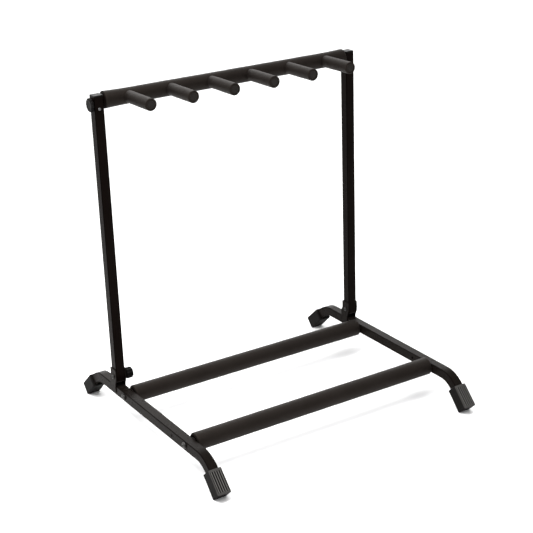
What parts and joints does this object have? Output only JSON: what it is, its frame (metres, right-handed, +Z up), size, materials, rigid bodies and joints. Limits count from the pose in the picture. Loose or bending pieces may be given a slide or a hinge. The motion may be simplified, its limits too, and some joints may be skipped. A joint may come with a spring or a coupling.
{
  "type": "guitar rack",
  "caption": "Folding floor rack: bent side legs joined by padded bars, hinged posts and a tilting padded neck bar with padded fingers that part the instruments' necks",
  "frame": {"origin": "on the floor, in the middle of the footprint", "axes": "+Z up; -Y is the side that the fingers point to and the instruments stand on; +X runs along the bars, with the knobs at -X"},
  "size_m": [0.6795, 0.6262, 0.7524],
  "materials": {
    "base_powder_coat": "satin",
    "post_powder_coat": "satin",
    "foot_rubber": "matte",
    "foam_sleeve": "matte",
    "tube_coat": "satin",
    "dark_fasteners": "satin",
    "turned_steel": "satin",
    "bright_screws": "polished",
    "brass_insert": "satin",
    "knob_plastic": "matte",
    "plug_plastic": "matte"
  },
  "bodies": {
    "base": {"left_leg": "base_powder_coat", "right_leg": "base_powder_coat", "left_front_foot": "foot_rubber", "left_rear_foot": "foot_rubber", "right_front_foot": "foot_rubber", "right_rear_foot": "foot_rubber", "left_hinge_bracket": "base_powder_coat", "right_hinge_bracket": "base_powder_coat", "rear_lower_tube": "tube_coat", "front_lower_tube": "tube_coat", "rear_lower_foam": "foam_sleeve", "front_lower_foam": "foam_sleeve", "crossbar_bolts": "dark_fasteners", "crossbar_inserts": "turned_steel", "left_hinge_bolt": "dark_fasteners", "right_hinge_bolt": "dark_fasteners", "right_hinge_nut": "dark_fasteners"},
    "lock_knob": {"hinge_knob": "knob_plastic", "hinge_knob_insert": "brass_insert"},
    "uprights": {"left_post": "post_powder_coat", "right_post": "post_powder_coat", "left_post_cap": "plug_plastic", "right_post_cap": "plug_plastic", "left_post_plug": "plug_plastic", "right_post_plug": "plug_plastic", "post_screws": "bright_screws", "right_neck_bolt": "dark_fasteners"},
    "top_knob": {"neck_knob": "knob_plastic", "neck_knob_stud": "dark_fasteners"},
    "neck_rest": {"neck_tube": "tube_coat", "neck_foam": "foam_sleeve", "left_neck_plug": "dark_fasteners", "right_neck_plug": "dark_fasteners", "finger_tube_1": "tube_coat", "finger_tube_2": "tube_coat", "finger_tube_3": "tube_coat", "finger_tube_4": "tube_coat", "finger_tube_5": "tube_coat", "finger_tube_6": "tube_coat", "finger_foam_1": "foam_sleeve", "finger_foam_2": "foam_sleeve", "finger_foam_3": "foam_sleeve", "finger_foam_4": "foam_sleeve", "finger_foam_5": "foam_sleeve", "finger_foam_6": "foam_sleeve", "finger_plug_1": "plug_plastic", "finger_plug_2": "plug_plastic", "finger_plug_3": "plug_plastic", "finger_plug_4": "plug_plastic", "finger_plug_5": "plug_plastic", "finger_plug_6": "plug_plastic"}
  },
  "joints": [
    {"name": "frame_fold", "type": "hinge", "parent": "base", "child": "uprights", "pos_m": [0, 0.1445, 0.1025], "axis": [1, 0, 0], "range_deg": [0, 88]},
    {"name": "neck_rest_tilt", "type": "hinge", "parent": "uprights", "child": "neck_rest", "pos_m": [0, 0.1445, 0.7285], "axis": [1, 0, 0], "range_deg": [-90, 90]},
    {"name": "hinge_knob_turn", "type": "hinge", "parent": "base", "child": "lock_knob", "pos_m": [-0.3, 0.1445, 0.1025], "axis": [1, 0, 0], "continuous": true},
    {"name": "neck_knob_turn", "type": "hinge", "parent": "uprights", "child": "top_knob", "pos_m": [-0.333, 0.1445, 0.7285], "axis": [-1, 0, 0], "continuous": true}
  ]
}
